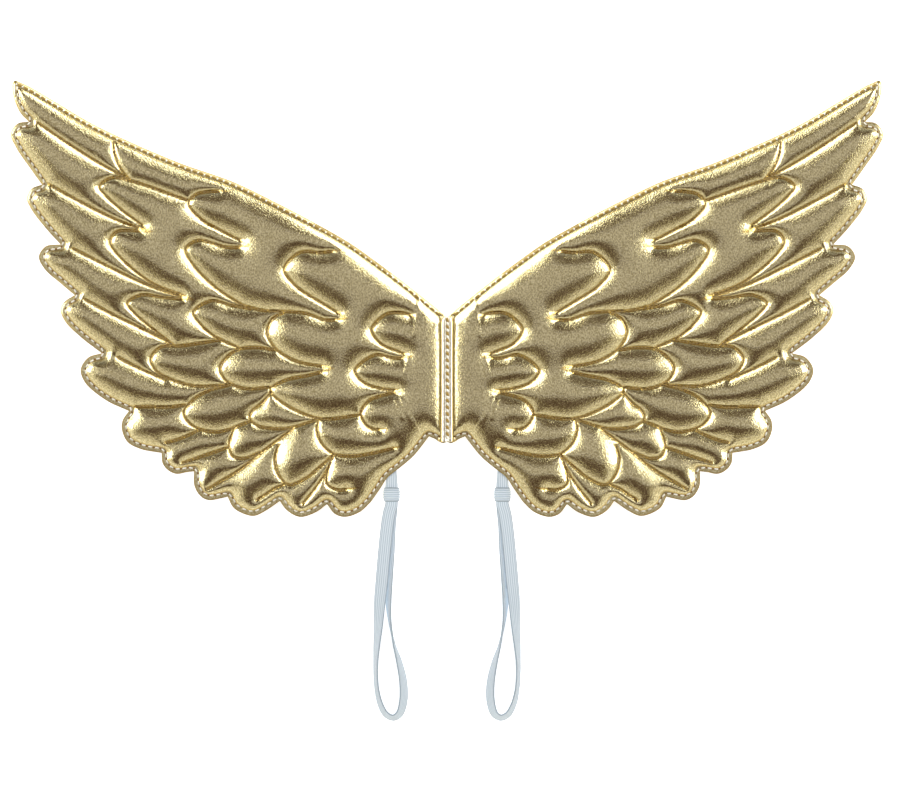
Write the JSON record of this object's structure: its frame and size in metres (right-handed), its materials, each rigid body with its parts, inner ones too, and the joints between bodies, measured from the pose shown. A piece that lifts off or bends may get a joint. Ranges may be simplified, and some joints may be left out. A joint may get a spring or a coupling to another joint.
{
  "type": "angel wings",
  "caption": "Pair of quilted, padded costume wings with scalloped feather edges, joined by a stitched spine band, with elastic arm loops below.",
  "frame": {"origin": "middle of the bottom of the box of the whole part, on the surface that the wings lie on", "axes": "+X from wing tip to wing tip, towards the wing on the viewer's right; +Y up the wings, away from the arm loops; +Z off the surface, out of the quilted face"},
  "size_m": [0.4372, 0.3214, 0.0102],
  "materials": {
    "gold_leather": "metallic gold coated cloth, embossed and quilted over padding, fine brushed grain",
    "gold_band": "metallic gold coated cloth strip with a column of stitches down its middle",
    "pale_elastic": "woven elastic with fine ribs along it, matt"
  },
  "bodies": {
    "root": {"wing_left": "gold_leather", "wing_right": "gold_leather", "spine_band": "gold_band", "strap_left": "pale_elastic", "strap_right": "pale_elastic", "keeper_left": "pale_elastic", "keeper_right": "pale_elastic"}
  },
  "joints": []
}
